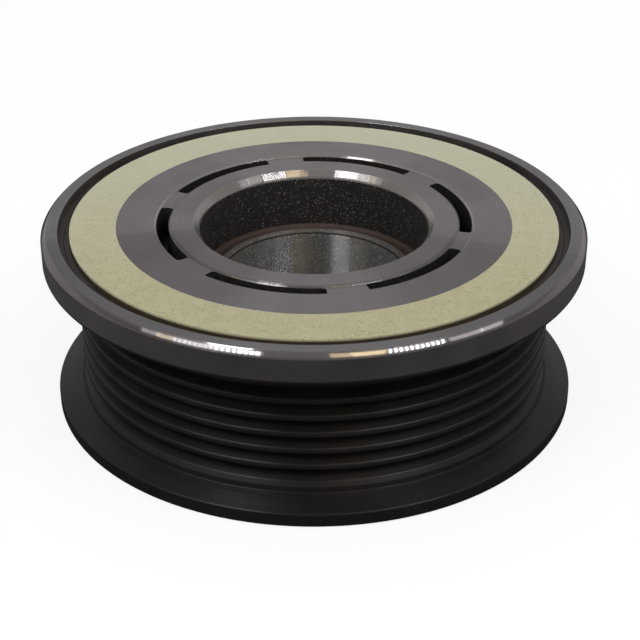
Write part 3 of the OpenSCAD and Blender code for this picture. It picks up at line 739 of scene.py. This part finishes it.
CARRIED = {
    "bearing_outer_ring": turned_steel("ground_outer_ring", tone(180, 178, 176), slope=0.2),
    "bearing_circlip": plain_metal("spring_steel", tone(70, 68, 68), 0.45),
    "front_balls": plain_metal("ball_steel", tone(225, 225, 228), 0.12, mottle=0.03),
    "rear_balls": plain_metal("ball_steel_rear", tone(225, 225, 228), 0.12, mottle=0.03),
    "front_cage": moulded_plastic("cage_nylon", tone(222, 214, 190)),
    "rear_cage": moulded_plastic("cage_nylon_rear", tone(222, 214, 190)),
    "front_seal_insert": plain_metal("insert_steel", tone(160, 158, 156), 0.4),
    "rear_seal_insert": plain_metal("insert_steel_rear", tone(160, 158, 156), 0.4),
    "coil_shell": plain_metal("coil_steel", tone(120, 120, 122), 0.5),
    "coil_bobbin": moulded_plastic("bobbin_nylon", tone(226, 222, 205)),
    "coil_winding": plain_metal("copper_wire", tone(190, 110, 70), 0.35),
    "coil_resin": moulded_plastic("sealing_resin", tone(40, 38, 38), 0.3),
    "coil_plate": plain_metal("plated_steel", tone(196, 190, 165), 0.35),
    "coil_rivets": plain_metal("rivet_steel", tone(205, 203, 198), 0.35),
    "terminal_block": moulded_plastic("block_nylon", tone(40, 40, 42), 0.5),
    "coil_terminals": plain_metal("terminal_brass", tone(205, 175, 105), 0.3),
}
for node_name, material in CARRIED.items():
    mesh = NODES[node_name].data
    mesh.materials.clear()
    mesh.materials.append(material)


# ---------- stage ----------

# Metres from here on.
CAMERA_PITCH = math.radians(29.27)
CAMERA_BACK = Vector((0, -math.cos(CAMERA_PITCH), math.sin(CAMERA_PITCH)))
AIM = Vector((0.0012, -0.0422, FACE * MM))
CAMERA_DISTANCE = 0.2878
CAMERA_AT = AIM + CAMERA_BACK * CAMERA_DISTANCE
FOCUS_DISTANCE = 0.335
LAMP_DISTANCE = 0.7
MAIN_TILTS = (51.5, 42.5)     # leans of the surfaces that mirror the lower and the upper end of a lamp
HIGH_TILTS = (40, 33)         # the same for a lamp that only flatter surfaces mirror
FILL_TILTS = (54, 37.5)       # and for a lamp that lights the matte surfaces
ROOM_TINT = (1.0, 0.965, 0.975, 1)


def build_floor():
    """Pale floor that takes a soft shadow, and that the part's own black surfaces don't mirror."""
    sh = Shader("floor")
    glow = sh.node("Emission", {"Color": (1, 1, 1, 1), "Strength": 1.05})
    matte = sh.node("BsdfDiffuse", {"Color": (0.9, 0.9, 0.9, 1)})
    seen = sh.node("MixShader", {0: 0.22, 1: glow.outputs[0], 2: matte.outputs[0]})
    dim = sh.node("BsdfDiffuse", {"Color": (0.06, 0.06, 0.06, 1)})
    distance = sh.vector("LENGTH", sh.node("NewGeometry").outputs["Position"])
    pale = sh.node("Emission", {"Color": ROOM_TINT, "Strength": 0.36})
    mirrored = sh.node("MixShader", {0: sh.ramp(distance, 0.3, 0.6), 1: dim.outputs[0], 2: pale.outputs[0]})
    is_seen = sh.node("LightPath").outputs["Is Camera Ray"]
    both = sh.node("MixShader", {0: is_seen, 1: mirrored.outputs[0], 2: seen.outputs[0]})
    bm = bmesh.new()
    bmesh.ops.create_grid(bm, x_segments=1, y_segments=1, size=2.0 / MM)
    finish_mesh(bm, "floor", [sh.surface(both.outputs[0])])


def build_world():
    """White to the camera, soft grey in reflections, and an even light on matte surfaces."""
    world = bpy.data.worlds.new("studio")
    bpy.context.scene.world = world
    world.use_nodes = True
    tree = world.node_tree
    tree.nodes.clear()

    def background(strength, colour=(1, 1, 1, 1)):
        made = tree.nodes.new("ShaderNodeBackground")
        made.inputs["Color"].default_value = colour
        if isinstance(strength, bpy.types.NodeSocket):
            tree.links.new(strength, made.inputs["Strength"])
        else:
            made.inputs["Strength"].default_value = strength
        return made.outputs[0]

    def choose(which, no, yes):
        made = tree.nodes.new("ShaderNodeMixShader")
        for socket, source in zip(made.inputs, (which, no, yes)):
            tree.links.new(source, socket)
        return made.outputs[0]

    def ramp(value, low_at, high_at, low_to, high_to):
        made = tree.nodes.new("ShaderNodeMapRange")
        tree.links.new(value, made.inputs[0])
        for socket, number in zip(made.inputs[1:5], (low_at, high_at, low_to, high_to)):
            socket.default_value = number
        return made.outputs[0]

    def times(a, b):
        made = tree.nodes.new("ShaderNodeMath")
        made.operation = "MULTIPLY"
        tree.links.new(a, made.inputs[0])
        tree.links.new(b, made.inputs[1])
        return made.outputs[0]

    path = tree.nodes.new("ShaderNodeLightPath").outputs
    split = tree.nodes.new("ShaderNodeSeparateXYZ")
    tree.links.new(tree.nodes.new("ShaderNodeTexCoord").outputs["Generated"], split.inputs[0])
    behind = ramp(split.outputs[1], -0.3, 0.85, 0.16, 0.36)
    wall_top = ramp(split.outputs[2], 0.438, 0.446, 1.0, 0.68)
    sky = ramp(split.outputs[2], 0.52, 0.75, 1.0, 1.8)
    reflected = background(times(behind, times(wall_top, sky)), ROOM_TINT)
    lit = choose(path["Is Glossy Ray"], background(0.6), reflected)
    output = tree.nodes.new("ShaderNodeOutputWorld")
    tree.links.new(choose(path["Is Camera Ray"], lit, background(1.0)), output.inputs["Surface"])


def lamp_at(azimuth, tilt):
    """Point a lamp stands at so that the near rim mirrors it to the camera.

    The mirror is the spot on the front rim at that azimuth, leaning outwards from the axis by the tilt.
    """
    turn, lean = math.radians(azimuth), math.radians(tilt)
    outward = Vector((math.cos(turn), math.sin(turn), 0))
    spot = (outward * RIM_R + Vector((0, 0, RIM_TOP))) * MM
    normal = outward * math.sin(lean) + Vector((0, 0, math.cos(lean)))
    view = (CAMERA_AT - spot).normalized()
    return spot + (2 * normal.dot(view) * normal - view) * LAMP_DISTANCE


def lamp(name, azimuth_from, azimuth_to, brightness, colour=(1, 1, 1), seen_in="glossy", tilts=MAIN_TILTS):
    """Tall soft light in front of the face that shows on the front rim between two azimuths.

    seen_in keeps it to mirror-like reflections ("glossy") or to the lighting of matte surfaces ("diffuse").
    tilts are the leans, in degrees, of the surfaces that mirror its lower and its upper end.
    """
    middle = (azimuth_from + azimuth_to) / 2
    low_end, high_end = lamp_at(middle, tilts[0]), lamp_at(middle, tilts[1])
    centre = (low_end + high_end) / 2
    along = (high_end - low_end).normalized()
    away = (centre - Vector((0, 0, FACE * MM))).normalized()
    side = along.cross(away).normalized()
    away = side.cross(along)
    halfway = (tilts[0] + tilts[1]) / 2
    data = bpy.data.lights.new(name, "AREA")
    data.shape = "RECTANGLE"
    data.size = abs((lamp_at(azimuth_to, halfway) - lamp_at(azimuth_from, halfway)).dot(side))
    data.size_y = (high_end - low_end).length
    data.energy = brightness * math.pi * data.size * data.size_y
    data.color = colour
    made = bpy.data.objects.new(name, data)
    made.visible_diffuse = seen_in == "diffuse"
    made.visible_glossy = seen_in == "glossy"
    made.matrix_world = Matrix((
        (side.x, along.x, away.x, centre.x), (side.y, along.y, away.y, centre.y),
        (side.z, along.z, away.z, centre.z), (0, 0, 0, 1),
    ))
    bpy.context.scene.collection.objects.link(made)


def lamps(name, azimuth_from, azimuth_to, count, lit, brightness, colour):
    """A row of narrow lights over the span, each lit over that part of its share of it."""
    pitch = (azimuth_to - azimuth_from) / count
    for k in range(count):
        middle = azimuth_from + (k + 0.5) * pitch
        half = lit * pitch / 2
        lamp(name + "_" + str(k + 1), middle - half, middle + half, brightness, colour)


def build_camera():
    """Long lens focused just past the axis, with a slight blur on the near rim."""
    data = bpy.data.cameras.new("camera")
    data.lens, data.sensor_width = 90.0, 36.0
    data.clip_start, data.clip_end = 0.01, 20.0
    data.dof.use_dof = True
    data.dof.focus_distance = FOCUS_DISTANCE
    data.dof.aperture_fstop = 95.0
    camera = bpy.data.objects.new("camera", data)
    camera.location = CAMERA_AT
    camera.rotation_euler = (math.radians(90) - CAMERA_PITCH, 0, 0)
    bpy.context.scene.collection.objects.link(camera)
    bpy.context.scene.camera = camera


build_floor()
build_world()
build_camera()
lamp("left_edge", 236.0, 240.0, 0.6)
lamp("left_high", 250.0, 259.0, 4.2, tilts=HIGH_TILTS)
lamp("left_gold", 239.6, 243.0, 1.3, (1.0, 0.9, 0.66))
lamps("left_stripes", 243.0, 251.5, 8, 0.45, 2.6, (0.88, 0.92, 1.0))
lamp("left_glow", 243.0, 251.5, 0.8, (1.0, 0.97, 0.9))
lamps("left_beads", 251.5, 256.0, 4, 0.4, 6.0, (0.84, 0.87, 1.0))
lamp("left_white", 251.5, 256.0, 0.5)
lamps("left_end", 256.0, 260.5, 4, 0.75, 4.0, (0.9, 0.92, 1.0))
lamp("middle_brown", 273.1, 277.0, 0.85, (1.0, 0.82, 0.45))
lamp("middle_gold", 277.0, 283.4, 1.6, (1.0, 0.84, 0.48))
lamps("right_beads", 283.7, 295.2, 11, 0.34, 8.5, (0.94, 0.96, 1.0))
lamp("right_pale", 296.0, 303.5, 0.75, (1.0, 0.98, 0.98))
lamp("right_end", 303.0, 308.5, 0.9, (0.93, 0.96, 1.0))
lamp("left_fill", 242.0, 260.0, 3.2, seen_in="diffuse", tilts=FILL_TILTS)
lamp("right_fill", 284.0, 302.0, 2.7, seen_in="diffuse", tilts=FILL_TILTS)
lamp("middle_fill", 273.5, 284.0, 1.3, (1.0, 0.84, 0.53), seen_in="diffuse", tilts=FILL_TILTS)
bpy.context.scene.view_settings.view_transform = "Standard"
